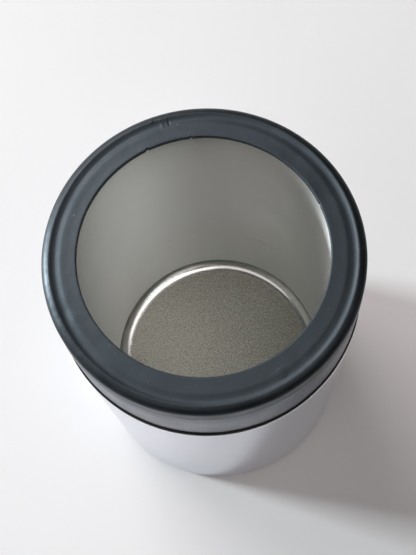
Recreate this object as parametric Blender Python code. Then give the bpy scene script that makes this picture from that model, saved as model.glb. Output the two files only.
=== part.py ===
"""An insulated can holder: a double-walled steel cup with a screw collar and a rubber grip ring.

A standard drink can stands on the cup's floor. The plastic collar screws down over the cup's
neck and carries a soft ring, whose thin inner lip closes round the can.

All sizes are in metres, with +Z up and the origin at the middle of the foot.
"""
import math

import bmesh
import bpy
from mathutils import Vector

MM = 0.001

# The can that the holder is made for. The radii are worked out from it, from the inside outwards
CAN_RADIUS = 33.1 * MM

# Clearances
MOUTH_CLEARANCE = 0.35 * MM
LINER_CLEARANCE = 3.4 * MM
FIT_GAP = 0.3 * MM
SEAM_GAP = 0.4 * MM
COLLAR_GAP = 1.0 * MM

# The outer shell
BODY_HEIGHT = 96.0 * MM
BODY_TAPER = 0.7 * MM
SHELL_WALL = 0.6 * MM
SHOULDER_RISE = 0.9 * MM
SHOULDER_ROUND = 0.6 * MM
FOOT_ROUND = 3.0 * MM
FOOT_RIM_WIDTH = 3.6 * MM
FOOT_RIM_HEIGHT = 2.4 * MM
NECK_HEIGHT = 20.8 * MM
NECK_VACUUM_GAP = 1.9 * MM

# The inner liner
LINER_WALL = 0.6 * MM
FLOOR_HEIGHT = 11.3 * MM
FLOOR_CORNER_RADIUS = 4.0 * MM
LIP_FLARE = 1.2 * MM
LIP_EDGE_ROUND = 0.2 * MM

# The base plate, the solder that seals its pumping hole, and the getter inside the vacuum
BASE_RECESS = 1.2 * MM
BASE_FLANGE_HEIGHT = 1.4 * MM
SEAL_DIMPLE_RADIUS = 4.5 * MM
SEAL_DIMPLE_DEPTH = 1.2 * MM
SEAL_DIMPLE_SLOPE = 0.9 * MM
SEAL_RADIUS = 2.6 * MM
SEAL_THICKNESS = 0.6 * MM
SEAL_CROWN_SHARE = 0.75
GETTER_RADIUS = 5.0 * MM
GETTER_THICKNESS = 2.2 * MM
GETTER_EDGE_ROUND = 0.5 * MM
GETTER_OFFSET = 18.0 * MM

# The screw collar
COLLAR_WALL = 2.7 * MM
COLLAR_INSET = 0.3 * MM
COLLAR_TOP_DROP = 1.4 * MM
COLLAR_EDGE_ROUND = 0.4 * MM
UPSTAND_WIDTH = 1.4 * MM
UPSTAND_HEIGHT = 5.0 * MM
THREAD_RELIEF_DEPTH = 2.5 * MM

# The thread on the neck, and the one inside the collar
THREAD_PITCH = 4.0 * MM
THREAD_TURNS = 2.0
THREAD_HEIGHT = 1.0 * MM
THREAD_ROOT_WIDTH = 1.7 * MM
THREAD_CREST_WIDTH = 0.8 * MM
THREAD_START = 7.0 * MM
THREAD_ANCHOR = 0.3 * MM
THREAD_RUNOUT_STEPS = 3

# The grip ring
RING_INSET = 0.6 * MM
RING_HEIGHT = 7.7 * MM
OUTER_LIP_WIDTH = 1.9 * MM
OUTER_LIP_DROP = 1.5 * MM
CREST_DROP = 0.4 * MM
GROOVE_WIDTH = 3.5 * MM
GROOVE_DEPTH = 0.7 * MM
LAND_DROP = 0.3 * MM
LAND_WIDTH = 1.8 * MM
MOUTH_LIP_ROUND = 0.55 * MM
MOUTH_LIP_WIDTH = 1.1 * MM
MOUTH_LIP_THICKNESS = 1.3 * MM
RING_EDGE_ROUND = 0.3 * MM

SEGMENTS = 64
SMALL_SEGMENTS = 24
THREAD_STEPS_PER_TURN = 32
SHARP_ANGLE = math.radians(35)
MERGE_DISTANCE = 0.000001


# Heights that several pieces share

def collar_bottom():
    return BODY_HEIGHT + COLLAR_GAP


def collar_top():
    return neck_top() - COLLAR_TOP_DROP


def ring_bottom():
    return collar_top() + SEAM_GAP


def neck_top():
    return BODY_HEIGHT + NECK_HEIGHT


def lip_top():
    return neck_top() + FIT_GAP + LINER_WALL


def base_panel_top():
    return BASE_RECESS + SHELL_WALL


# Radii that several pieces share, from the can outwards

def mouth_radius():
    return CAN_RADIUS + MOUTH_CLEARANCE


def liner_radius():
    return CAN_RADIUS + LINER_CLEARANCE


def neck_radius():
    return liner_radius() + LINER_WALL + NECK_VACUUM_GAP + SHELL_WALL


def thread_crest_radius():
    return neck_radius() + THREAD_HEIGHT


def collar_thread_wall_radius():
    return thread_crest_radius() + FIT_GAP


def collar_radius():
    return collar_thread_wall_radius() + COLLAR_WALL


def ring_radius():
    return collar_radius() - RING_INSET


def body_top_radius():
    return collar_radius() + COLLAR_INSET


def body_foot_radius():
    return body_top_radius() - BODY_TAPER


def foot_rim_inner_radius():
    return body_foot_radius() - FOOT_ROUND - FOOT_RIM_WIDTH


def upstand_inner_radius():
    return neck_radius() + FIT_GAP


def upstand_outer_radius():
    return upstand_inner_radius() + UPSTAND_WIDTH


def clear_scene():
    for old in list(bpy.data.objects):
        bpy.data.objects.remove(old, do_unlink=True)


def arc(centre, radii, start, end, steps):
    """Points (r, z) along part of an ellipse, with angles in degrees from +r towards +z."""
    points = []
    for step in range(steps + 1):
        angle = math.radians(start + (end - start) * step / steps)
        points.append((centre[0] + radii[0] * math.cos(angle), centre[1] + radii[1] * math.sin(angle)))
    return points


def material(name, colour, roughness, metallic):
    made = bpy.data.materials.new(name)
    made.use_nodes = True
    shader = made.node_tree.nodes["Principled BSDF"]
    shader.inputs["Base Color"].default_value = (*colour, 1.0)
    shader.inputs["Roughness"].default_value = roughness
    shader.inputs["Metallic"].default_value = metallic
    made.diffuse_color = (*colour, 1.0)
    return made


def add_object(name, mesh_data, finish):
    """Put a finished mesh into the scene as one named sub-part."""
    bmesh.ops.recalc_face_normals(mesh_data, faces=mesh_data.faces)
    mesh = bpy.data.meshes.new(name)
    mesh_data.to_mesh(mesh)
    mesh_data.free()
    mesh.shade_smooth()
    mesh.set_sharp_from_angle(angle=SHARP_ANGLE)
    mesh.materials.append(finish)
    made = bpy.data.objects.new(name, mesh)
    bpy.context.scene.collection.objects.link(made)
    return made


def turned(profile, on_axis=False, segments=SEGMENTS):
    """Spin a profile of (r, z) points about Z. One that starts and ends on the axis is left open."""
    mesh_data = bmesh.new()
    points = [mesh_data.verts.new((r, 0.0, z)) for r, z in profile]
    edges = [mesh_data.edges.new(pair) for pair in zip(points, points[1:])]
    if not on_axis:
        edges.append(mesh_data.edges.new((points[-1], points[0])))
    bmesh.ops.spin(mesh_data, geom=points + edges, cent=(0, 0, 0), axis=(0, 0, 1),
                   angle=math.tau, steps=segments, use_merge=True)
    bmesh.ops.remove_doubles(mesh_data, verts=mesh_data.verts, dist=MERGE_DISTANCE)
    return mesh_data


def helical_ridge(root_radius, crest_radius, first_height):
    """A thread's ridge, which sinks into the wall at both of its ends.

    Its root lies THREAD_ANCHOR inside the wall that carries it. first_height is the height of
    the ridge's middle where it starts, at the +X side.
    """
    outward = 1.0 if crest_radius > root_radius else -1.0
    buried_radius = root_radius - outward * THREAD_ANCHOR
    steps = round(THREAD_TURNS * THREAD_STEPS_PER_TURN)
    mesh_data = bmesh.new()
    rows = []
    for step in range(steps + 1):
        share = min(1.0, step / THREAD_RUNOUT_STEPS, (steps - step) / THREAD_RUNOUT_STEPS)
        tip_radius = root_radius - outward * THREAD_ANCHOR / 2
        tip_radius += (crest_radius - tip_radius) * share
        # Half a step off the wall's own corners, so that no edges fall in line
        angle = math.tau * (step + 0.5) / THREAD_STEPS_PER_TURN
        height = first_height + THREAD_PITCH * step / THREAD_STEPS_PER_TURN
        section = [(buried_radius, -THREAD_ROOT_WIDTH / 2), (tip_radius, -THREAD_CREST_WIDTH / 2),
                   (tip_radius, THREAD_CREST_WIDTH / 2), (buried_radius, THREAD_ROOT_WIDTH / 2)]
        rows.append([mesh_data.verts.new((r * math.cos(angle), r * math.sin(angle), height + z))
                     for r, z in section])
    for row, following in zip(rows, rows[1:]):
        for side in range(4):
            other = (side + 1) % 4
            mesh_data.faces.new((row[side], row[other], following[other], following[side]))
    mesh_data.faces.new(rows[0])
    mesh_data.faces.new(reversed(rows[-1]))
    return mesh_data


def join_ridge(carrier, ridge_mesh, finish):
    """Fuse a thread's ridge to the wall that carries it, with a union that stays live."""
    ridge = add_object(carrier.name + "_thread_guide", ridge_mesh, finish)
    ridge.hide_render = True
    ridge.display_type = "WIRE"
    union = carrier.modifiers.new("thread", "BOOLEAN")
    union.operation = "UNION"
    union.solver = "EXACT"
    union.object = ridge
    return ridge


def outer_shell(finish):
    """The outer wall: foot rim, tapered side, shoulder and threaded neck, as one formed sheet."""
    neck_inner = neck_radius() - SHELL_WALL
    rim_inner = foot_rim_inner_radius()
    rim_arc_radius = body_foot_radius() - FOOT_ROUND
    inner_round = FOOT_ROUND - SHELL_WALL
    side_top = BODY_HEIGHT - SHOULDER_ROUND
    shoulder_centre = (body_top_radius() - SHOULDER_ROUND, side_top)
    shoulder_radii = (SHOULDER_ROUND, SHOULDER_ROUND)
    neck_root = BODY_HEIGHT + SHOULDER_RISE

    profile = [(neck_radius(), neck_top()), (neck_radius(), neck_root)]
    profile += reversed(arc(shoulder_centre, shoulder_radii, 0, 90, 3))
    profile += reversed(arc((rim_arc_radius, FOOT_ROUND), (FOOT_ROUND, FOOT_ROUND), -90, 0, 5))
    profile += [(rim_inner, 0.0), (rim_inner, FOOT_RIM_HEIGHT), (rim_inner + SHELL_WALL, FOOT_RIM_HEIGHT),
                (rim_inner + SHELL_WALL, SHELL_WALL)]
    profile += arc((rim_arc_radius, FOOT_ROUND), (inner_round, inner_round), -90, 0, 5)
    profile += [(body_top_radius() - SHELL_WALL, side_top - SHELL_WALL),
                (neck_inner, neck_root - SHELL_WALL), (neck_inner, neck_top())]
    shell = add_object("outer_shell", turned(profile), finish)
    ridge = helical_ridge(neck_radius(), thread_crest_radius(), BODY_HEIGHT + THREAD_START)
    join_ridge(shell, ridge, finish)
    return shell


def inner_liner(finish):
    """The inner cup: flat floor, round corner, straight wall and a lip turned out over the neck."""
    outer_radius = liner_radius() + LINER_WALL
    corner_centre = (liner_radius() - FLOOR_CORNER_RADIUS, FLOOR_HEIGHT + FLOOR_CORNER_RADIUS)
    inner_corner = (FLOOR_CORNER_RADIUS, FLOOR_CORNER_RADIUS)
    outer_corner = (FLOOR_CORNER_RADIUS + LINER_WALL, FLOOR_CORNER_RADIUS + LINER_WALL)
    flare_centre = (liner_radius() + LIP_FLARE, lip_top() - LIP_FLARE)
    flare_inside = LIP_FLARE - LINER_WALL
    lip_bottom = lip_top() - LINER_WALL

    profile = [(0.0, FLOOR_HEIGHT)]
    profile += arc(corner_centre, inner_corner, -90, 0, 6)
    profile += arc(flare_centre, (LIP_FLARE, LIP_FLARE), 180, 90, 3)
    profile += [(neck_radius() - LIP_EDGE_ROUND, lip_top()), (neck_radius(), lip_top() - LIP_EDGE_ROUND),
                (neck_radius(), lip_bottom)]
    profile += arc(flare_centre, (flare_inside, flare_inside), 90, 180, 3)
    profile += arc(corner_centre, outer_corner, 0, -90, 5)
    profile += [(0.0, FLOOR_HEIGHT - LINER_WALL)]
    return add_object("inner_liner", turned(profile, on_axis=True), finish)


def base_plate(finish):
    """The pressed disc that closes the shell's bottom, with a dimple round the pumping hole."""
    edge = foot_rim_inner_radius() - FIT_GAP
    flange_top = BASE_RECESS + BASE_FLANGE_HEIGHT
    panel_top = base_panel_top()
    dimple_foot = SEAL_DIMPLE_RADIUS + SEAL_DIMPLE_SLOPE
    profile = [(0.0, panel_top + SEAL_DIMPLE_DEPTH),
               (SEAL_DIMPLE_RADIUS, panel_top + SEAL_DIMPLE_DEPTH),
               (dimple_foot, panel_top),
               (edge - SHELL_WALL, panel_top), (edge - SHELL_WALL, flange_top),
               (edge, flange_top), (edge, BASE_RECESS), (dimple_foot - SHELL_WALL, BASE_RECESS),
               (SEAL_DIMPLE_RADIUS - SHELL_WALL, BASE_RECESS + SEAL_DIMPLE_DEPTH),
               (0.0, BASE_RECESS + SEAL_DIMPLE_DEPTH)]
    return add_object("base_plate", turned(profile, on_axis=True), finish)


def seal_bead(finish):
    """The drop of solder that closes the pumping hole, up in the base plate's dimple."""
    top = BASE_RECESS + SEAL_DIMPLE_DEPTH - FIT_GAP
    bottom = top - SEAL_THICKNESS
    shoulder = (SEAL_RADIUS * SEAL_CROWN_SHARE, (top + bottom) / 2)
    profile = [(0.0, top), (SEAL_RADIUS, top), shoulder, (0.0, bottom)]
    return add_object("seal_bead", turned(profile, True, SMALL_SEGMENTS), finish)


def getter_pill(finish):
    """The getter that keeps the vacuum, a pill that sits on the base plate between the walls."""
    bottom = base_panel_top() + FIT_GAP
    rim = GETTER_RADIUS - GETTER_EDGE_ROUND
    profile = [(0.0, GETTER_THICKNESS), (rim, GETTER_THICKNESS),
               (GETTER_RADIUS, GETTER_THICKNESS - GETTER_EDGE_ROUND),
               (GETTER_RADIUS, GETTER_EDGE_ROUND), (rim, 0.0), (0.0, 0.0)]
    pill = add_object("getter_pill", turned(profile, True, SMALL_SEGMENTS), finish)
    pill.location = Vector((GETTER_OFFSET, 0.0, bottom))
    return pill


def screw_collar(finish):
    """The plastic collar: a band flush with the body, and an upstand that holds the grip ring."""
    bottom = collar_bottom()
    top = collar_top()
    upstand_top = top + UPSTAND_HEIGHT
    thread_wall = collar_thread_wall_radius()
    relief_bottom = top - THREAD_RELIEF_DEPTH
    step_height = thread_wall - upstand_inner_radius()
    edge = COLLAR_EDGE_ROUND

    profile = [(upstand_inner_radius(), upstand_top - edge), (upstand_inner_radius() + edge, upstand_top),
               (upstand_outer_radius() - edge, upstand_top), (upstand_outer_radius(), upstand_top - edge),
               (upstand_outer_radius(), top)]
    profile += reversed(arc((collar_radius() - edge, top - edge), (edge, edge), 0, 90, 2))
    profile += reversed(arc((collar_radius() - edge, bottom + edge), (edge, edge), -90, 0, 2))
    profile += [(thread_wall + edge, bottom), (thread_wall, bottom + edge),
                (thread_wall, relief_bottom), (upstand_inner_radius(), relief_bottom + step_height)]
    collar = add_object("screw_collar", turned(profile), finish)
    # The collar's ridge runs midway between the turns of the neck's ridge
    ridge_start = BODY_HEIGHT + THREAD_START - THREAD_PITCH / 2
    ridge = helical_ridge(thread_wall, thread_wall - THREAD_HEIGHT, ridge_start)
    join_ridge(collar, ridge, finish)
    return collar


def grip_ring(finish):
    """The soft ring: a rounded outer lip, a shallow groove, a flat land and a thin mouth lip."""
    bottom = ring_bottom()
    top = bottom + RING_HEIGHT
    crest_radius = ring_radius() - OUTER_LIP_WIDTH
    crest_height = top - CREST_DROP
    groove_inner = crest_radius - GROOVE_WIDTH
    groove_middle = (crest_radius + groove_inner) / 2
    groove_bottom = crest_height - GROOVE_DEPTH
    land_height = top - LAND_DROP
    land_inner = groove_inner - LAND_WIDTH
    lip_round_centre = (mouth_radius() + MOUTH_LIP_ROUND, top - MOUTH_LIP_ROUND)
    skirt_inner = upstand_outer_radius() + FIT_GAP
    channel_inner = upstand_inner_radius() - FIT_GAP
    channel_top = collar_top() + UPSTAND_HEIGHT + FIT_GAP
    hub_inner = liner_radius() + SEAM_GAP
    hub_bottom = lip_top() + FIT_GAP

    profile = [(skirt_inner, bottom), (skirt_inner, channel_top), (channel_inner, channel_top),
               (channel_inner, hub_bottom), (hub_inner, hub_bottom)]
    profile += [(mouth_radius() + RING_EDGE_ROUND, top - MOUTH_LIP_THICKNESS)]
    profile += reversed(arc(lip_round_centre, (MOUTH_LIP_ROUND, MOUTH_LIP_ROUND), 90, 180, 3))
    profile += [(mouth_radius() + MOUTH_LIP_WIDTH, top), (land_inner, land_height),
                (groove_inner, land_height), (groove_middle, groove_bottom)]
    lip_radii = (OUTER_LIP_WIDTH, OUTER_LIP_DROP)
    profile += reversed(arc((crest_radius, crest_height - OUTER_LIP_DROP), lip_radii, 0, 90, 4))
    profile += [(ring_radius(), bottom + RING_EDGE_ROUND), (ring_radius() - RING_EDGE_ROUND, bottom)]
    return add_object("grip_ring", turned(profile), finish)


def build():
    clear_scene()
    satin_steel = material("satin_steel", (0.66, 0.67, 0.69), 0.36, 1.0)
    liner_steel = material("liner_steel", (0.62, 0.63, 0.62), 0.40, 1.0)
    pressed_steel = material("pressed_steel", (0.58, 0.58, 0.57), 0.45, 1.0)
    solder = material("solder", (0.42, 0.43, 0.44), 0.35, 1.0)
    getter_metal = material("getter_metal", (0.22, 0.21, 0.20), 0.65, 0.6)
    collar_plastic = material("collar_plastic", (0.035, 0.040, 0.046), 0.38, 0.0)
    ring_rubber = material("ring_rubber", (0.040, 0.050, 0.056), 0.48, 0.0)
    outer_shell(satin_steel)
    inner_liner(liner_steel)
    base_plate(pressed_steel)
    seal_bead(solder)
    getter_pill(getter_metal)
    screw_collar(collar_plastic)
    grip_ring(ring_rubber)


build()
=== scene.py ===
"""The looks of an insulated can holder: its finishes, fine shapes, table, light and camera.

Lengths are in metres in the CAD model's frame, with the origin at the middle of the foot and +Z
up. The camera looks from the -Y side. Angles round the axis run anticlockwise from +X, in
degrees. A profile is a list of (r, z) points that is turned about Z.
"""

import math

import bmesh
import bpy
from mathutils import Matrix, Vector, noise


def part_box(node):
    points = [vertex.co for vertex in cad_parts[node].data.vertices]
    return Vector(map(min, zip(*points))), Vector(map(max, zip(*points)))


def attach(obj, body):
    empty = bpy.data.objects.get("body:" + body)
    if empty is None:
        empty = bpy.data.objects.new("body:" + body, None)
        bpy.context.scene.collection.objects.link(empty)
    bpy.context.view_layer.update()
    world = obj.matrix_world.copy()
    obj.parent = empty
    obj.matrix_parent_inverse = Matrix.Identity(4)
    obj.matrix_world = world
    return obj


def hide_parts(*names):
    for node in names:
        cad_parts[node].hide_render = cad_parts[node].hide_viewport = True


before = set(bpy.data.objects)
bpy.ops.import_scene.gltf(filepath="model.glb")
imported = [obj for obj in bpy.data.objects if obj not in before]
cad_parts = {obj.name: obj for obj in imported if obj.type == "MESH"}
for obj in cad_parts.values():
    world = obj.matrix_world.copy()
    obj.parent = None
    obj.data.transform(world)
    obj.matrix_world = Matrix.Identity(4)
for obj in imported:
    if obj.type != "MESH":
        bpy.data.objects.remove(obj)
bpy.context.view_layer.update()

MM = 0.001

# The picture's frame, and the camera that was worked out from the round edges in it
PICTURE_HEIGHT_PX = 555
FOCAL_LENGTH_PX = 975.0
SENSOR_WIDTH_MM = 36.0
CAMERA_PLACE = Vector((0.0, -88.3, 363.1)) * MM
CAMERA_HEADING = -0.21
CAMERA_TILT = 18.68
CAMERA_ROLL = -8.53

# Sizes that the CAD model shares. A step is measured inwards from the piece's own outer radius.
SHELL_WALL = 0.6 * MM
LINER_WALL = 0.6 * MM
FIT_GAP = 0.3 * MM
BODY_HEIGHT = 96.0 * MM
NECK_STEP = 4.3 * MM
SHOULDER_RISE = 0.9 * MM
FOOT_TAPER = 0.7 * MM
FOOT_ROUND = 3.0 * MM
FOOT_RIM_WIDTH = 3.6 * MM
FOOT_RIM_HEIGHT = 2.4 * MM
FLOOR_HEIGHT = 11.3 * MM
FLOOR_CORNER_RADIUS = 4.0 * MM
LIP_FLARE = 1.2 * MM
COLLAR_STEP = 2.7 * MM
UPSTAND_STEP = 2.3 * MM
UPSTAND_WIDTH = 1.4 * MM
THREAD_PITCH = 4.0 * MM
THREAD_TURNS = 2.0
THREAD_HEIGHT = 1.0 * MM
THREAD_START = 7.0 * MM
THREAD_ROOT_HALF = 0.85 * MM
THREAD_CREST_HALF = 0.4 * MM
THREAD_RELIEF_DEPTH = 2.5 * MM

# How far the finer shapes depart from the CAD model
SHELL_DRAW_IN = 0.05 * MM
SHOULDER_ROUND = 0.07 * MM
LEDGE_WIDTH = 1.6 * MM
COLLAR_DRAW_IN = 0.3 * MM
COLLAR_LIFT = 1.2 * MM
COLLAR_TAPER_HEIGHT = 3.0 * MM
COLLAR_EDGE = 0.25 * MM
COLLAR_TOP_EDGE = 0.08 * MM
COLLAR_PAST_RING = 0.03 * MM
SEAM_WIDTH = 0.04 * MM

# The black lip under the collar, painted shade for the dark gap above the shell, with heights above
# the shell
SHADE_LIP_LOW = 0.25 * MM
SHADE_LIP_HIGH = 1.05 * MM
SHADE_LIP_INSET = 0.13 * MM
SHADE_LIP_WIDTH = 1.4 * MM
SHADE_LIP_ROOT = 0.6 * MM
SHADE_LIP_ROUND = 0.2 * MM
SHADE_LIP_OVERLAP = 0.1 * MM

# The thread ridges' section and ends
THREAD_STEPS_PER_TURN = 96
THREAD_RUNOUT_STEPS = 14
THREAD_BURIED = 0.2 * MM
THREAD_END_BURIED = 0.1 * MM
THREAD_SHOULDER_SHARE = 0.18
THREAD_SHOULDER_OUT = 0.08 * MM
THREAD_FLAT_SHARE = 0.6

RING_SEGMENTS = 1080
WALL_SEGMENTS = 480
PLATE_SEGMENTS = 240
BEAD_SEGMENTS = 120
SHARP_ANGLE = 50

# The parts of a noise's range over which a colour and a number change
COLOUR_SPAN = (0.35, 0.65)
NUMBER_SPAN = (0.3, 0.7)

LINER_ROUGHNESS = 0.60
LINER_ANISOTROPY = 0.9

# The room's light by direction
ROOM_COLOUR = (1.0, 0.95, 0.93, 1.0)
ROOM_BRIGHT_SIDE = 125.0
ROOM_BRIGHT_HEIGHT = 15.0
ROOM_BRIGHT = 0.14
ROOM_DIM = 0.02
ROOM_DIM_FROM = -0.1

# Lights as (name, azimuth, elevation, distance, width, height, radiance, colour)
COOL = (0.89, 0.96, 1.0)
WARM = (1.0, 0.93, 0.92)
LIGHTS = [("window", 157.6, 19.5, 2.4, 0.40, 0.56, 84.0, COOL),
          ("ceiling_front", 330, 70, 1.3, 0.8, 0.8, 1.5, WARM),
          ("ceiling_back", 120, 40, 1.3, 0.8, 0.8, 4.0, WARM),
          ("ceiling_left", 225, 60, 1.3, 0.8, 0.8, 0.75, WARM)]
LIGHTS_AIM = Vector((0.0, 0.0, 60 * MM))

TABLE_HALF_WIDTH = 3.0
TABLE_DROP = 0.05 * MM


# Curves and turned meshes

def outward(angle):
    """The unit vector away from the axis at an angle in degrees."""
    return Vector((math.cos(math.radians(angle)), math.sin(math.radians(angle)), 0.0))


def smooth_curve(points, steps):
    """Points on a smooth curve through the given points, with steps to each span."""
    ends = [points[0], *points, points[-1]]
    curve = []
    for before, start, end, after in zip(ends, ends[1:], ends[2:], ends[3:]):
        for step in range(steps):
            t = step / steps
            curve.append(tuple(
                b + 0.5 * t * (c - a + t * (2 * a - 5 * b + 4 * c - d
                                            + t * (3 * b - a - 3 * c + d)))
                for a, b, c, d in zip(before, start, end, after)))
    curve.append(points[-1])
    return curve


def arc(centre, radius, start, end, steps):
    """Points on an arc, with angles in degrees from +r towards +z."""
    points = []
    for step in range(steps + 1):
        angle = math.radians(start + (end - start) * step / steps)
        points.append((centre[0] + radius * math.cos(angle),
                       centre[1] + radius * math.sin(angle)))
    return points


def straight(start, end, steps):
    """Points from start up to, but not including, end."""
    return [tuple(a + (b - a) * step / steps for a, b in zip(start, end))
            for step in range(steps)]


def turn(mesh_data, profile, segments, shape=None):
    """Spin a closed profile about Z into mesh_data. shape(r, z, angle) may move a point."""
    rows = []
    for segment in range(segments):
        angle = math.tau * segment / segments
        row = []
        for r, z in profile:
            if shape and r > 0:
                r, z = shape(r, z, angle)
            row.append(mesh_data.verts.new((r * math.cos(angle), r * math.sin(angle), z)))
        rows.append(row)
    for row, following in zip(rows, rows[1:] + rows[:1]):
        for here, there in zip(range(len(row)), [*range(1, len(row)), 0]):
            if profile[here][0] > 0 or profile[there][0] > 0:
                mesh_data.faces.new((row[here], following[here], following[there], row[there]))
    on_axis = [row[k] for row in rows for k, point in enumerate(profile) if point[0] == 0]
    bmesh.ops.remove_doubles(mesh_data, verts=on_axis, dist=MM / 1000)


def thread_ridge(mesh_data, root_radius, crest_radius, first_height):
    """A rounded helical ridge whose ends fade into the wall at root_radius."""
    outwards = 1.0 if crest_radius > root_radius else -1.0
    steps = round(THREAD_TURNS * THREAD_STEPS_PER_TURN)
    buried = root_radius - outwards * THREAD_BURIED
    flat_half = THREAD_CREST_HALF * THREAD_FLAT_SHARE
    shoulder_half = THREAD_CREST_HALF + THREAD_SHOULDER_OUT
    rows = []
    for step in range(steps + 1):
        share = max(0.0, min(1.0, step / THREAD_RUNOUT_STEPS, (steps - step) / THREAD_RUNOUT_STEPS))
        share = share * share * (3 - 2 * share)
        tip = root_radius - outwards * THREAD_END_BURIED
        tip += (crest_radius - tip) * share
        shoulder = tip + (buried - tip) * THREAD_SHOULDER_SHARE
        section = [(buried, -THREAD_ROOT_HALF), (shoulder, -shoulder_half), (tip, -flat_half),
                   (tip, flat_half), (shoulder, shoulder_half), (buried, THREAD_ROOT_HALF)]
        angle = math.tau * (step + 0.5) / THREAD_STEPS_PER_TURN
        height = first_height + THREAD_PITCH * step / THREAD_STEPS_PER_TURN
        rows.append([mesh_data.verts.new((r * math.cos(angle), r * math.sin(angle), height + z))
                     for r, z in section])
    for row, following in zip(rows, rows[1:]):
        for here in range(len(row)):
            there = (here + 1) % len(row)
            mesh_data.faces.new((row[here], following[here], following[there], row[there]))
    mesh_data.faces.new(rows[0])
    mesh_data.faces.new(rows[-1])


def piece(name, mesh_data, finishes, body, slot, *nodes):
    """Finish a mesh, hang it on its body, and let it stand for its CAD nodes.

    A face's material_index says which of the finishes is its own.
    """
    bmesh.ops.recalc_face_normals(mesh_data, faces=mesh_data.faces)
    mesh = bpy.data.meshes.new(name)
    mesh_data.to_mesh(mesh)
    mesh_data.free()
    mesh.shade_smooth()
    mesh.set_sharp_from_angle(angle=math.radians(SHARP_ANGLE))
    for material in finishes:
        mesh.materials.append(material)
    made = bpy.data.objects.new(name, mesh)
    bpy.context.scene.collection.objects.link(made)
    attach(made, body)
    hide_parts(*nodes)


# Materials

class Finish:
    """A Principled material, and short ways to add the nodes that vary it over the surface."""

    def __init__(self, name, colour, roughness, metallic=0.0, specular=0.5):
        self.material = bpy.data.materials.new(name)
        self.material.use_nodes = True
        self.tree = self.material.node_tree
        self.shader = self.tree.nodes["Principled BSDF"]
        self.set("Base Color", (*colour, 1.0))
        self.set("Roughness", roughness)
        self.set("Metallic", metallic)
        self.set("Specular IOR Level", specular)
        self.material.diffuse_color = (*colour, 1.0)
        self.place = self.node("ShaderNodeTexCoord").outputs["Object"]

    def set(self, socket, value):
        """Give one of the shader's sockets a value that is the same all over."""
        self.shader.inputs[socket].default_value = value

    def node(self, kind, inputs=None, **settings):
        """A node, with each input linked if it is given a socket, and set if not."""
        made = self.tree.nodes.new(kind)
        for key, value in settings.items():
            setattr(made, key, value)
        for key, value in (inputs or {}).items():
            if isinstance(value, bpy.types.NodeSocket):
                self.tree.links.new(value, made.inputs[key])
            else:
                made.inputs[key].default_value = value
        return made

    def vector(self, operation, *values):
        return self.node("ShaderNodeVectorMath", dict(enumerate(values)), operation=operation)

    def number(self, operation, *values):
        made = self.node("ShaderNodeMath", dict(enumerate(values)), operation=operation)
        return made.outputs["Value"]

    def noise(self, size, detail=2.0, stretch=None):
        """Noise from about 0.3 to 0.7, with features of the given size in metres."""
        place = self.place
        if stretch:
            place = self.vector("MULTIPLY", place, stretch).outputs["Vector"]
        inputs = {"Vector": place, "Scale": 1.0 / size, "Detail": detail}
        return self.node("ShaderNodeTexNoise", inputs).outputs["Fac"]

    def ramp(self, value, low, high, to_low=0.0, to_high=1.0):
        """Map a value smoothly from low..high to to_low..to_high."""
        inputs = {"Value": value, "From Min": low, "From Max": high, "To Min": to_low,
                  "To Max": to_high}
        made = self.node("ShaderNodeMapRange", inputs, interpolation_type="SMOOTHSTEP")
        return made.outputs["Result"]

    def uneven(self, value, low, high):
        """A number that wanders from low to high with a noise."""
        return self.ramp(value, *NUMBER_SPAN, low, high)

    def mottled(self, value, first, second, span=COLOUR_SPAN):
        """A colour that wanders from the first to the second with a noise."""
        return self.colours(self.ramp(value, *span), first, second)

    def radius(self):
        """Distance from the object's axis."""
        flat = self.vector("MULTIPLY", self.place, (1.0, 1.0, 0.0)).outputs["Vector"]
        return self.vector("LENGTH", flat).outputs["Value"]

    def spot(self, centre, size):
        """1 at a place, falling to 0 at the given distance from it."""
        offset = self.vector("SUBTRACT", self.place, centre).outputs["Vector"]
        distance = self.vector("LENGTH", offset).outputs["Value"]
        return self.ramp(distance, size * 0.2, size, 1.0, 0.0)

    def colours(self, share, first, second):
        """A colour between two, by share. The first may be another colour's socket."""
        if not isinstance(first, bpy.types.NodeSocket):
            first = (*first, 1.0)
        made = self.node("ShaderNodeMix", data_type="RGBA")
        for socket, value in ((0, share), (6, first), (7, (*second, 1.0))):
            if isinstance(value, bpy.types.NodeSocket):
                self.tree.links.new(value, made.inputs[socket])
            else:
                made.inputs[socket].default_value = value
        return made.outputs[2]

    def bump(self, height, distance, normal=None):
        inputs = {"Height": height, "Distance": distance, "Strength": 1.0}
        if normal:
            inputs["Normal"] = normal
        return self.node("ShaderNodeBump", inputs).outputs["Normal"]

    def use(self, **sockets):
        """Link outputs to the shader's sockets, and give the finished material."""
        for name, value in sockets.items():
            self.tree.links.new(value, self.shader.inputs[name.replace("_", " ")])
        return self.material


def satin_steel():
    """The outside of the cup: satin steel with an even, slightly bluish sheen."""
    finish = Finish("satin_steel", (0.87, 0.88, 0.92), 0.17, metallic=1.0)
    finish.set("Specular Tint", (0.88, 0.885, 0.91, 1.0))
    marks = finish.noise(14 * MM, 1.0)
    colour = finish.mottled(marks, (0.86, 0.87, 0.91), (0.88, 0.89, 0.93))
    return finish.use(Base_Color=colour, Roughness=finish.uneven(marks, 0.16, 0.18))


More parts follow.
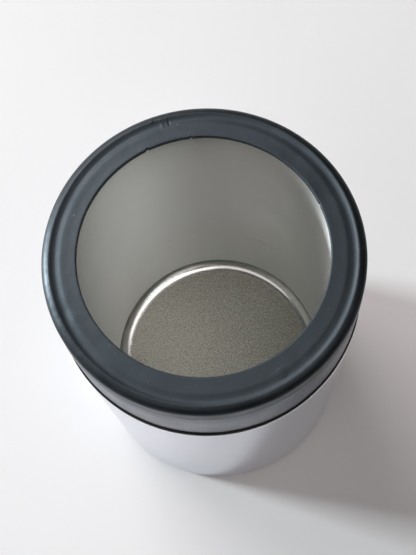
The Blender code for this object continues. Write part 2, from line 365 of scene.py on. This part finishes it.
def liner_wall_steel():
    """The inside wall: steel that spreads light up and down more than sideways."""
    finish = Finish("liner_wall_steel", (0.97, 0.99, 0.965), LINER_ROUGHNESS, metallic=1.0)
    finish.set("Anisotropic", LINER_ANISOTROPY)
    finish.set("Anisotropic Rotation", 0.25)
    tangent = finish.node("ShaderNodeTangent", direction_type="RADIAL", axis="Z")
    clouds = finish.noise(14 * MM, 3.0)
    streaks = finish.noise(1.6 * MM, 3.0, stretch=(0.05, 0.05, 1.0))
    colour = finish.mottled(clouds, (0.96, 0.98, 0.955), (0.98, 1.0, 0.975))
    roughness = finish.uneven(streaks, LINER_ROUGHNESS - 0.02, LINER_ROUGHNESS + 0.02)
    return finish.use(Base_Color=colour, Roughness=roughness, Tangent=tangent.outputs["Tangent"])


def liner_corner_steel():
    """The round corner between wall and floor, which the forming tool left bright."""
    finish = Finish("liner_corner_steel", (0.84, 0.85, 0.82), 0.16, metallic=1.0)
    clouds = finish.noise(6 * MM, 1.0)
    colour = finish.mottled(clouds, (0.82, 0.83, 0.80), (0.86, 0.87, 0.84))
    return finish.use(Base_Color=colour, Roughness=finish.uneven(clouds, 0.15, 0.18))


def liner_floor_steel():
    """The floor: steel blasted with coarse grit."""
    finish = Finish("liner_floor_steel", (0.80, 0.78, 0.70), 0.44, metallic=1.0)
    grit = finish.noise(0.33 * MM, 2.0)
    colour = finish.mottled(grit, (0.50, 0.495, 0.42), (1.0, 1.0, 0.90), span=(0.40, 0.60))
    return finish.use(Base_Color=colour, Roughness=finish.uneven(grit, 0.40, 0.48),
                      Normal=finish.bump(grit, 0.12 * MM))


def pressed_steel():
    """The base plate: dull pressed steel with faint turning marks."""
    finish = Finish("pressed_steel", (0.60, 0.60, 0.59), 0.42, metallic=1.0)
    inputs = {"Vector": finish.place, "Scale": 260.0, "Distortion": 1.2}
    rings = finish.node("ShaderNodeTexWave", inputs, wave_type="RINGS", rings_direction="Z")
    clouds = finish.noise(8 * MM, 4.0)
    colour = finish.mottled(clouds, (0.54, 0.54, 0.53), (0.64, 0.64, 0.63))
    return finish.use(Base_Color=colour, Roughness=finish.uneven(clouds, 0.36, 0.50),
                      Normal=finish.bump(rings.outputs["Fac"], 0.02 * MM))


def solder():
    """The seal: dull grey solder with a wrinkled skin."""
    finish = Finish("solder", (0.42, 0.43, 0.44), 0.35, metallic=1.0)
    clouds = finish.noise(1.2 * MM, 4.0)
    colour = finish.mottled(clouds, (0.30, 0.31, 0.31), (0.50, 0.51, 0.52))
    return finish.use(Base_Color=colour, Roughness=finish.uneven(clouds, 0.25, 0.5),
                      Normal=finish.bump(clouds, 0.15 * MM))


def getter_metal():
    """The getter: a dark, grainy pressed powder."""
    finish = Finish("getter_metal", (0.22, 0.21, 0.20), 0.65, metallic=0.6)
    grains = finish.noise(0.5 * MM, 3.0)
    colour = finish.mottled(grains, (0.16, 0.15, 0.14), (0.28, 0.27, 0.25))
    return finish.use(Base_Color=colour, Roughness=finish.uneven(grains, 0.55, 0.75),
                      Normal=finish.bump(grains, 0.08 * MM))


def collar_plastic():
    """Dark satin plastic with a very fine moulded grain."""
    finish = Finish("collar_plastic", (0.040, 0.046, 0.063), 0.32, specular=0.9)
    finish.set("Specular Tint", (0.74, 0.84, 1.0, 1.0))
    finish.set("IOR", 1.70)
    clouds = finish.noise(11 * MM, 4.0)
    grain = finish.noise(0.25 * MM, 2.0)
    colour = finish.mottled(clouds, (0.036, 0.042, 0.057), (0.044, 0.051, 0.069))
    return finish.use(Base_Color=colour, Roughness=finish.uneven(clouds, 0.27, 0.36),
                      Normal=finish.bump(grain, 0.008 * MM))


def painted_shade_lip():
    """A matt black lip under the collar: painted shade that stands for the shadowed gap above the
    steel.
    """
    finish = Finish("painted_shade_lip", (0.006, 0.005, 0.007), 0.60, specular=0.4)
    clouds = finish.noise(3 * MM, 3.0)
    colour = finish.mottled(clouds, (0.005, 0.004, 0.006), (0.008, 0.006, 0.009))
    return finish.use(Base_Color=colour, Roughness=finish.uneven(clouds, 0.55, 0.65))


def ring_rubber():
    """Dark blue-grey rubber: matt and slightly uneven on top, and blacker on the lip."""
    finish = Finish("ring_rubber", (0.020, 0.027, 0.033), 0.55, specular=0.9)
    finish.set("Specular Tint", (0.75, 0.89, 1.0, 1.0))
    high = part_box("grip_ring")[1]
    clouds = finish.noise(7 * MM, 4.0)
    fine = finish.noise(0.35 * MM, 3.0)
    dust = finish.ramp(finish.noise(0.55 * MM, 1.0), 0.74, 0.80)
    colour = finish.mottled(clouds, (0.018, 0.025, 0.030), (0.022, 0.030, 0.036))
    colour = finish.colours(dust, colour, (0.16, 0.17, 0.17))
    # A speck of rust-coloured dirt, and a pale one
    for angle, radius, dirt in ((321, 38.6 * MM, (0.16, 0.05, 0.05)),
                                (154, 36.3 * MM, (0.30, 0.30, 0.30))):
        speck = outward(angle) * radius + Vector((0.0, 0.0, high.z))
        colour = finish.colours(finish.spot(speck, 0.5 * MM), colour, dirt)
    # The lip and the side are smoother and blacker than the top
    crest = high.x - RingShape.LIP_WIDTH
    outside = finish.ramp(finish.radius(), crest - 0.5 * MM, crest + 0.3 * MM)
    colour = finish.colours(outside, colour, (0.002, 0.003, 0.004))
    roughness = finish.number("SUBTRACT", finish.uneven(clouds, 0.50, 0.60),
                              finish.number("MULTIPLY", outside, 0.11))
    normal = finish.bump(fine, 0.012 * MM, finish.bump(clouds, 0.14 * MM))
    return finish.use(Base_Color=colour, Roughness=roughness, Normal=normal)


# The grip ring

def bell(distance, width):
    """1 in the middle of a mark, falling smoothly with the distance from it."""
    return math.exp(-(distance / width) ** 2) if abs(distance) < 3 * width else 0.0


def off_mark(r, degrees, mark):
    """How far a point lies to the side of a mark's radius. The far half is out of reach."""
    away = math.radians(degrees - mark)
    return r * math.sin(away) if math.cos(away) > 0 else math.inf


class RingShape:
    """The ring's profile, and the marks that use has left in the soft rubber."""

    LIP_WIDTH = 2.1 * MM
    LIP_DROP = 1.5 * MM
    LIP_STEPS = 10
    CREST_DROP = 0.4 * MM
    MOUTH_ROUND = 0.40 * MM
    MOUTH_THICKNESS = 1.3 * MM
    MOUTH_STEP = 9.55 * MM
    HUB_STEP = 6.1 * MM
    EDGE_ROUND = 0.08 * MM
    # The groove and the land, as (way in from the lip's crest, drop from the top)
    TOP_LINE = [(0.0, 0.40 * MM), (0.35 * MM, 0.48 * MM), (0.85 * MM, 0.76 * MM),
                (1.50 * MM, 0.90 * MM), (2.30 * MM, 0.70 * MM), (3.20 * MM, 0.40 * MM),
                (4.30 * MM, 0.30 * MM), (5.30 * MM, 0.22 * MM)]

    # The thin, ragged line that the mould left on the crest, as (share, waves per metre)
    FLASH_HEIGHT = 0.05 * MM
    FLASH_WIDTH = 0.12 * MM
    FLASH_POINTS = 4
    FLASH_SPACING = 0.06 * MM
    FLASH_MEAN = 0.75
    FLASH_WAVES = [(1.1, 55.0), (0.7, 130.0)]

    # The marks fade out between these depths below the top
    MARKS_DEPTH = 2.2 * MM
    MARKS_FADE = 0.8 * MM
    # Unevenness of the top, as (height, waves per metre)
    WAVES = [(0.05 * MM, 160.0), (0.02 * MM, 600.0)]
    # Creases across the top, as (angle, half-width, height, inner radius, outer radius)
    CREASE_FADE = 0.5 * MM
    CREASES = [(95.8, 0.22 * MM, -0.30 * MM, 38.2 * MM, 40.9 * MM),
               (98.6, 0.45 * MM, 0.14 * MM, 38.0 * MM, 41.0 * MM),
               (102.0, 0.40 * MM, 0.22 * MM, 40.4 * MM, 41.4 * MM),
               (293.0, 1.00 * MM, 0.16 * MM, 36.6 * MM, 39.6 * MM)]
    # Dents, as (angle, radius, half-width, height)
    DENTS = [(288.0, 37.2 * MM, 1.4 * MM, -0.14 * MM), (302.0, 37.6 * MM, 1.6 * MM, -0.16 * MM),
             (195.0, 38.5 * MM, 2.2 * MM, -0.14 * MM), (17.0, 37.4 * MM, 3.0 * MM, -0.10 * MM)]
    # Nicks in the mouth's edge, as (angle, half-width, depth)
    NICK_REACH = 1.2 * MM
    NICKS = [(14.5, 0.35 * MM, 0.25 * MM), (87.5, 0.25 * MM, 0.45 * MM),
             (108.7, 0.35 * MM, 0.50 * MM)]
    # Unevenness of the mouth's edge, and its waves round the ring
    MOUTH_WAVE = 0.03 * MM
    MOUTH_WAVES = 30.0

    def __init__(self):
        low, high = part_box("grip_ring")
        self.bottom = low.z
        self.top = high.z
        self.outer = high.x
        self.mouth = self.outer - self.MOUTH_STEP
        self.crest = self.outer - self.LIP_WIDTH
        self.crest_height = self.top - self.CREST_DROP

    def side(self):
        return [(self.outer - self.EDGE_ROUND, self.bottom),
                (self.outer - 0.3 * self.EDGE_ROUND, self.bottom + 0.3 * self.EDGE_ROUND),
                *straight((self.outer, self.bottom + self.EDGE_ROUND),
                          (self.outer, self.crest_height - self.LIP_DROP), 4)]

    def lip(self):
        """The lip, half way between a round edge and a straight slope."""
        points = []
        for step in range(self.LIP_STEPS + 1):
            share = step / self.LIP_STEPS
            angle = math.radians(90 * share)
            out = 0.5 * math.cos(angle) + 0.5 * (1 - share)
            up = 0.5 * math.sin(angle) + 0.5 * share
            points.append((self.crest + self.LIP_WIDTH * out,
                           self.crest_height + self.LIP_DROP * (up - 1)))
        return points

    def across(self):
        """The top from the crest inwards, with closer points at first for the mould's line."""
        knots = [(self.crest - way_in, self.top - drop) for way_in, drop in self.TOP_LINE]
        knots.append((self.mouth + self.MOUTH_ROUND, self.top))
        closer = [(self.crest - k * self.FLASH_SPACING, self.crest_height)
                  for k in range(1, self.FLASH_POINTS + 1)]
        return closer + smooth_curve(knots, 4)[3:]

    def under(self):
        """The underside, with the channel that the collar's upstand fills."""
        collar_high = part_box("screw_collar")[1]
        channel_out = collar_high.x - UPSTAND_STEP + FIT_GAP
        channel_in = collar_high.x - UPSTAND_STEP - UPSTAND_WIDTH - FIT_GAP
        channel_top = collar_high.z + FIT_GAP
        hub_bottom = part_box("inner_liner")[1].z + FIT_GAP
        return [(self.mouth + self.EDGE_ROUND, self.top - self.MOUTH_THICKNESS),
                (self.outer - self.HUB_STEP, hub_bottom), (channel_in, hub_bottom),
                (channel_in, channel_top), (channel_out, channel_top), (channel_out, self.bottom)]

    def profile(self):
        mouth = arc((self.mouth + self.MOUTH_ROUND, self.top - self.MOUTH_ROUND),
                    self.MOUTH_ROUND, 90, 180, 8)
        return self.side() + self.lip() + self.across() + mouth[1:] + self.under()

    def rise(self, r, degrees, round_axis, upper):
        """How far the marks lift a point of the top."""
        place = round_axis * r
        ragged = self.FLASH_MEAN
        for share, waves in self.FLASH_WAVES:
            ragged += share * noise.noise(round_axis * waves)
        rise = (math.exp(-((r - self.crest) / self.FLASH_WIDTH) ** 2)
                * self.FLASH_HEIGHT * max(0.0, ragged))
        for height, waves in self.WAVES:
            rise += upper * height * noise.noise(place * waves)
        for mark, width, height, inner, outer in self.CREASES:
            along = min(1.0, max(0.0, min(r - inner, outer - r) / self.CREASE_FADE))
            rise += height * along * bell(off_mark(r, degrees, mark), width)
        for mark, where, width, height in self.DENTS:
            rise += height * bell((place - outward(mark) * where).length, width)
        return rise

    def moved(self, r, z, angle):
        """Where a point of the profile lies once the marks are in it."""
        degrees = math.degrees(angle)
        round_axis = Vector((math.cos(angle), math.sin(angle), 0.0))
        upper = max(0.0, min(1.0, (z - self.top + self.MARKS_DEPTH) / self.MARKS_FADE))
        if upper > 0:
            z += self.rise(r, degrees, round_axis, upper)
        z = min(z, self.top)
        if r < self.mouth + self.NICK_REACH:
            edge = 1.0 - (r - self.mouth) / self.NICK_REACH
            for mark, width, depth in self.NICKS:
                r += depth * edge * bell(off_mark(r, degrees, mark), width)
            r += edge * self.MOUTH_WAVE * max(0.0, noise.noise(round_axis * self.MOUTH_WAVES))
        return r, z


def grip_ring():
    shape = RingShape()
    mesh_data = bmesh.new()
    turn(mesh_data, shape.profile(), RING_SEGMENTS, shape.moved)
    piece("ring_top", mesh_data, [ring_rubber()], "ring", "ring_rubber", "grip_ring")


# The collar

def shade_lip_profile(collar_bottom):
    """The black lip of painted shade for the gap, which hangs under the collar and lies just above
    the shell.
    """
    low = BODY_HEIGHT + SHADE_LIP_LOW
    high = BODY_HEIGHT + SHADE_LIP_HIGH
    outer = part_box("outer_shell")[1].x - SHADE_LIP_INSET
    inner = outer - SHADE_LIP_WIDTH
    root = inner + SHADE_LIP_ROOT
    root_top = collar_bottom + SHADE_LIP_OVERLAP
    rounded = SHADE_LIP_ROUND
    return [(inner, low),
            *arc((outer - rounded, low + rounded), rounded, -90, 0, 4),
            *arc((outer - rounded, high - rounded), rounded, 0, 90, 4),
            (root, high), (root, root_top), (inner, root_top)]


def collar_profile(bottom):
    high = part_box("screw_collar")[1]
    ring_low, ring_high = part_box("grip_ring")
    outer = high.x - COLLAR_DRAW_IN
    band_top = ring_low.z - SEAM_WIDTH
    taper_bottom = band_top - COLLAR_TAPER_HEIGHT
    flush = ring_high.x + COLLAR_PAST_RING
    thread_wall = high.x - COLLAR_STEP
    upstand_out = high.x - UPSTAND_STEP
    upstand_in = upstand_out - UPSTAND_WIDTH
    relief = band_top - THREAD_RELIEF_DEPTH
    edge = COLLAR_EDGE
    top_edge = COLLAR_TOP_EDGE
    return [*arc((upstand_in + edge, high.z - edge), edge, 180, 90, 4),
            *arc((upstand_out - edge, high.z - edge), edge, 90, 0, 4),
            (upstand_out, band_top),
            *arc((flush - top_edge, band_top - top_edge), top_edge, 90, 0, 4),
            *straight((flush + 0.01 * MM, band_top - edge), (outer, taper_bottom), 6),
            *straight((outer, taper_bottom), (outer, bottom + edge), 8),
            *arc((outer - edge, bottom + edge), edge, 0, -90, 6),
            *arc((thread_wall + edge, bottom + edge), edge, -90, -180, 4),
            (thread_wall, relief), (upstand_in, relief + thread_wall - upstand_in)]


def screw_collar():
    low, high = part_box("screw_collar")
    bottom = low.z + COLLAR_LIFT
    thread_wall = high.x - COLLAR_STEP
    mesh_data = bmesh.new()
    # The black lip of painted shade comes first, so that its faces can be told from the rest
    turn(mesh_data, shade_lip_profile(bottom), WALL_SEGMENTS)
    for face in mesh_data.faces:
        face.material_index = 1
    turn(mesh_data, collar_profile(bottom), WALL_SEGMENTS)
    thread_ridge(mesh_data, thread_wall, thread_wall - THREAD_HEIGHT,
                 BODY_HEIGHT + THREAD_START - THREAD_PITCH / 2)
    piece("collar_band", mesh_data, [collar_plastic(), painted_shade_lip()], "collar",
          "collar_plastic", "screw_collar")


# The steel cup

def outer_shell():
    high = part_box("outer_shell")[1]
    outer = high.x - SHELL_DRAW_IN
    neck = high.x - NECK_STEP
    foot = high.x - FOOT_TAPER
    rim_arc = foot - FOOT_ROUND
    rim_in = rim_arc - FOOT_RIM_WIDTH
    side_top = BODY_HEIGHT - SHOULDER_ROUND
    neck_root = BODY_HEIGHT + SHOULDER_RISE
    wall = SHELL_WALL

    # Outside, from the neck's top down to the rim that the cup stands on
    profile = straight((neck, high.z), (neck, neck_root + wall), 8)
    profile += arc((neck + wall, neck_root + wall), wall, 180, 270, 4)[:-1]
    profile += [(outer - LEDGE_WIDTH, BODY_HEIGHT)]
    profile += arc((outer - SHOULDER_ROUND, side_top), SHOULDER_ROUND, 90, 0, 6)
    profile += straight((outer - 0.002 * MM, side_top - 0.3 * MM), (foot, FOOT_ROUND), 24)
    profile += arc((rim_arc, FOOT_ROUND), FOOT_ROUND, 0, -90, 12)
    profile += arc((rim_in + wall, wall), wall, -90, -180, 4)
    # Inside, back up to the neck
    profile += [(rim_in, FOOT_RIM_HEIGHT), (rim_in + wall, FOOT_RIM_HEIGHT), (rim_in + wall, wall)]
    profile += arc((rim_arc, FOOT_ROUND), FOOT_ROUND - wall, -90, 0, 8)
    profile += [(outer - wall, side_top - wall), (outer - LEDGE_WIDTH - wall, side_top - wall),
                (neck - wall, neck_root - wall), (neck - wall, high.z)]
    mesh_data = bmesh.new()
    turn(mesh_data, profile, WALL_SEGMENTS)
    thread_ridge(mesh_data, neck, neck + THREAD_HEIGHT, BODY_HEIGHT + THREAD_START)
    piece("shell_wall", mesh_data, [satin_steel()], "vessel", "satin_steel", "outer_shell")


class LinerShape:
    """The liner's profile: blasted floor, polished corner, witness line, wall and lip."""

    LIP_STEP = 3.1 * MM
    LIP_ROUND = 0.2 * MM
    BLAST_RADIUS = 32.7 * MM
    BLAST_STEPS = 80
    BLAST_RELIEF = 0.05 * MM
    BLAST_GRAIN = 0.7 * MM
    # The corner starts as a wide curve and ends as a tight one, so that its bright part is broad
    CORNER_INSET = 0.1 * MM
    WIDE_RADIUS = 6.0 * MM
    WIDE_END = -55
    TIGHT_RADIUS = 1.3 * MM
    TIGHT_END = -12
    # The fine step that the forming tool left above it, as (way in from the wall, height)
    CORNER_STEP = [(0.12 * MM, 2.2 * MM), (0.10 * MM, 2.5 * MM), (0.0, 2.8 * MM)]
    CORNER_TOP = 2.7 * MM
    WALL_START = 4.5 * MM
    # The fine line part of the way up the wall, as (height from its middle, depth)
    WITNESS_HEIGHT = 43.5 * MM
    WITNESS_LINE = [(-0.4 * MM, 0.0), (-0.1 * MM, 0.14 * MM), (0.3 * MM, 0.14 * MM),
                    (1.6 * MM, 0.0)]
    WITNESS_REACH = 4.0 * MM

    def __init__(self):
        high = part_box("inner_liner")[1]
        self.top = high.z
        self.lip = high.x
        self.wall = high.x - self.LIP_STEP
        self.corner = (self.wall - FLOOR_CORNER_RADIUS, FLOOR_HEIGHT + FLOOR_CORNER_RADIUS)

    def floor_and_corner(self):
        wide = self.WIDE_RADIUS
        tight = self.TIGHT_RADIUS
        start = self.corner[0] - self.CORNER_INSET
        wide_centre = (start, FLOOR_HEIGHT + wide)
        meeting = math.radians(self.WIDE_END)
        tight_centre = (wide_centre[0] + (wide - tight) * math.cos(meeting),
                        wide_centre[1] + (wide - tight) * math.sin(meeting))
        return [*straight((0.0, FLOOR_HEIGHT), (start, FLOOR_HEIGHT), self.BLAST_STEPS),
                *arc(wide_centre, wide, -90, self.WIDE_END, 14),
                *arc(tight_centre, tight, self.WIDE_END, self.TIGHT_END, 8)[1:],
                *((self.wall - way_in, FLOOR_HEIGHT + height)
                  for way_in, height in self.CORNER_STEP)]

    def profile(self):
        wall = self.wall
        flare = (wall + LIP_FLARE, self.top - LIP_FLARE)
        line = [(wall + depth, self.WITNESS_HEIGHT + up) for up, depth in self.WITNESS_LINE]
        above_line = (wall, self.WITNESS_HEIGHT + self.WITNESS_REACH)

        points = self.floor_and_corner()
        points += straight((wall, FLOOR_HEIGHT + self.WALL_START), line[0], 10) + line
        points += straight(above_line, (wall, flare[1]), 20)
        points += arc(flare, LIP_FLARE, 180, 90, 8)
        points += [(self.lip - self.LIP_ROUND, self.top), (self.lip, self.top - self.LIP_ROUND),
                   (self.lip, self.top - LINER_WALL)]
        points += arc(flare, LIP_FLARE - LINER_WALL, 90, 180, 6)
        points += arc(self.corner, FLOOR_CORNER_RADIUS + LINER_WALL, 0, -90, 10)
        points += [(0.0, FLOOR_HEIGHT - LINER_WALL)]
        return points

    def finish_at(self, r, z):
        """0 on the wall and the outside, 1 in the polished corner and 2 on the blasted floor."""
        up = z - FLOOR_HEIGHT
        if up < -0.2 * MM or up > self.CORNER_TOP or r > self.wall + 0.1 * MM:
            return 0
        return 2 if r < self.BLAST_RADIUS else 1

    def moved(self, r, z, angle):
        """The blasted floor's relief, which lies below the floor's height."""
        if r < self.BLAST_RADIUS and abs(z - FLOOR_HEIGHT) < 0.1 * MM:
            place = Vector((r * math.cos(angle), r * math.sin(angle), 0.0))
            z += self.BLAST_RELIEF * (noise.noise(place / self.BLAST_GRAIN) - 0.5)
        return r, z


def inner_liner():
    shape = LinerShape()
    mesh_data = bmesh.new()
    turn(mesh_data, shape.profile(), WALL_SEGMENTS, shape.moved)
    for face in mesh_data.faces:
        middle = face.calc_center_median()
        face.material_index = shape.finish_at(middle.xy.length, middle.z)
    finishes = [liner_wall_steel(), liner_corner_steel(), liner_floor_steel()]
    piece("liner_cup", mesh_data, finishes, "vessel", "liner_steel", "inner_liner")


def base_plate():
    """The plate, with the dimple that holds the seal in its middle."""
    low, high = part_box("base_plate")
    edge = high.x
    bottom = low.z
    wall = SHELL_WALL
    panel_top = bottom + wall
    dimple_rise = 1.2 * MM
    dimple = 4.5 * MM
    dimple_foot = dimple + 0.9 * MM
    rim_round = 0.3 * MM
    outside = smooth_curve([(0.0, bottom + dimple_rise), (dimple * 0.6, bottom + dimple_rise),
                            (dimple - wall * 0.8, bottom + dimple_rise * 0.9),
                            (dimple_foot - wall, bottom + 0.05 * MM),
                            (dimple_foot + 1 * MM, bottom)], 6)
    outside += straight((dimple_foot + 2 * MM, bottom), (edge - 0.4 * MM, bottom), 30)
    outside += arc((edge - rim_round, bottom + rim_round), rim_round, -90, 0, 4)
    inside = [(edge, high.z), (edge - wall, high.z), (edge - wall, panel_top),
              (dimple_foot, panel_top), (dimple, panel_top + dimple_rise),
              (0.0, panel_top + dimple_rise)]
    mesh_data = bmesh.new()
    turn(mesh_data, outside + inside, PLATE_SEGMENTS)
    piece("base_disc", mesh_data, [pressed_steel()], "vessel", "pressed_steel", "base_plate")


def seal_bead():
    """A drop of solder with a wrinkled, slightly uneven skin."""
    low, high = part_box("seal_bead")
    radius = high.x
    shrink = 0.97
    rim = 0.08 * MM
    steps = 14
    profile = [(0.0, high.z), (radius * shrink, high.z)]
    for step in range(steps):
        angle = math.radians(90 * step / steps)
        profile.append((radius * math.cos(angle),
                        high.z - rim - (high.z - low.z - rim) * math.sin(angle)))
    profile.append((0.0, low.z))

    def wrinkled(r, z, angle):
        place = Vector((r * math.cos(angle), r * math.sin(angle), z))
        if z > high.z - rim / 2:
            return r * shrink, z
        r *= shrink + 0.05 * noise.noise(place * 420.0)
        return r, max(low.z, z + 0.06 * MM * (0.5 + noise.noise(place * 900.0)))

    mesh_data = bmesh.new()
    turn(mesh_data, profile, BEAD_SEGMENTS, wrinkled)
    piece("solder_drop", mesh_data, [solder()], "vessel", "solder", "seal_bead")


def carried_over():
    """The getter keeps its CAD shape and gets its material."""
    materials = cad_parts["getter_pill"].data.materials
    materials.clear()
    materials.append(getter_metal())


# Table, light and camera

def table():
    """A large, plain, pale table top with the faintest mottle."""
    finish = Finish("table", (0.92, 0.92, 0.92), 0.55, specular=0.2)
    clouds = finish.noise(60 * MM, 3.0)
    colour = finish.mottled(clouds, (0.915, 0.915, 0.915), (0.925, 0.925, 0.925))
    half = TABLE_HALF_WIDTH
    mesh_data = bmesh.new()
    mesh_data.faces.new([mesh_data.verts.new((x, y, -TABLE_DROP)) for x, y in
                         ((-half, -half), (half, -half), (half, half), (-half, half))])
    mesh = bpy.data.meshes.new("table")
    mesh_data.to_mesh(mesh)
    mesh_data.free()
    mesh.materials.append(finish.use(Base_Color=colour))
    top = bpy.data.objects.new("table", mesh)
    bpy.context.scene.collection.objects.link(top)


def direction(azimuth, elevation):
    """The unit vector towards a place in the room."""
    round_axis = math.radians(azimuth)
    up = math.radians(elevation)
    return Vector((math.cos(up) * math.cos(round_axis), math.cos(up) * math.sin(round_axis),
                   math.sin(up)))


def area_light(name, azimuth, elevation, distance, width, height, radiance, colour):
    """A soft rectangular light that faces the object from a direction, with its radiance."""
    data = bpy.data.lights.new(name, "AREA")
    data.shape = "RECTANGLE"
    data.size = width
    data.size_y = height
    data.energy = radiance * math.pi * width * height
    data.color = colour
    light = bpy.data.objects.new(name, data)
    towards = direction(azimuth, elevation)
    light.location = LIGHTS_AIM + towards * distance
    light.rotation_euler = towards.to_track_quat("Z", "Y").to_euler()
    bpy.context.scene.collection.objects.link(light)


def room():
    """The world: a paler room behind the object to the left, and a dim one in front."""
    world = bpy.data.worlds.new("room")
    world.use_nodes = True
    tree = world.node_tree
    background = tree.nodes["Background"]
    background.inputs["Color"].default_value = ROOM_COLOUR
    place = tree.nodes.new("ShaderNodeTexCoord")
    towards = tree.nodes.new("ShaderNodeVectorMath")
    towards.operation = "DOT_PRODUCT"
    towards.inputs[1].default_value = direction(ROOM_BRIGHT_SIDE, ROOM_BRIGHT_HEIGHT)
    share = tree.nodes.new("ShaderNodeMapRange")
    share.interpolation_type = "SMOOTHSTEP"
    share.inputs["From Min"].default_value = ROOM_DIM_FROM
    share.inputs["From Max"].default_value = 1.0
    share.inputs["To Min"].default_value = ROOM_DIM
    share.inputs["To Max"].default_value = ROOM_BRIGHT
    tree.links.new(place.outputs["Generated"], towards.inputs[0])
    tree.links.new(towards.outputs["Value"], share.inputs["Value"])
    tree.links.new(share.outputs["Result"], background.inputs["Strength"])
    bpy.context.scene.world = world


def camera():
    data = bpy.data.cameras.new("camera")
    data.sensor_width = SENSOR_WIDTH_MM
    data.lens = FOCAL_LENGTH_PX * SENSOR_WIDTH_MM / PICTURE_HEIGHT_PX
    data.clip_start = 0.01
    data.clip_end = 20.0
    view = bpy.data.objects.new("camera", data)
    turned_by = (Matrix.Rotation(math.radians(CAMERA_HEADING), 4, "Z")
                 @ Matrix.Rotation(math.radians(CAMERA_TILT), 4, "X")
                 @ Matrix.Rotation(math.radians(CAMERA_ROLL), 4, "Z"))
    view.matrix_world = Matrix.Translation(CAMERA_PLACE) @ turned_by
    bpy.context.scene.collection.objects.link(view)
    bpy.context.scene.camera = view
    bpy.context.scene.view_settings.view_transform = "Standard"


camera()
table()
room()
for light in LIGHTS:
    area_light(*light)
grip_ring()
screw_collar()
outer_shell()
inner_liner()
base_plate()
seal_bead()
carried_over()
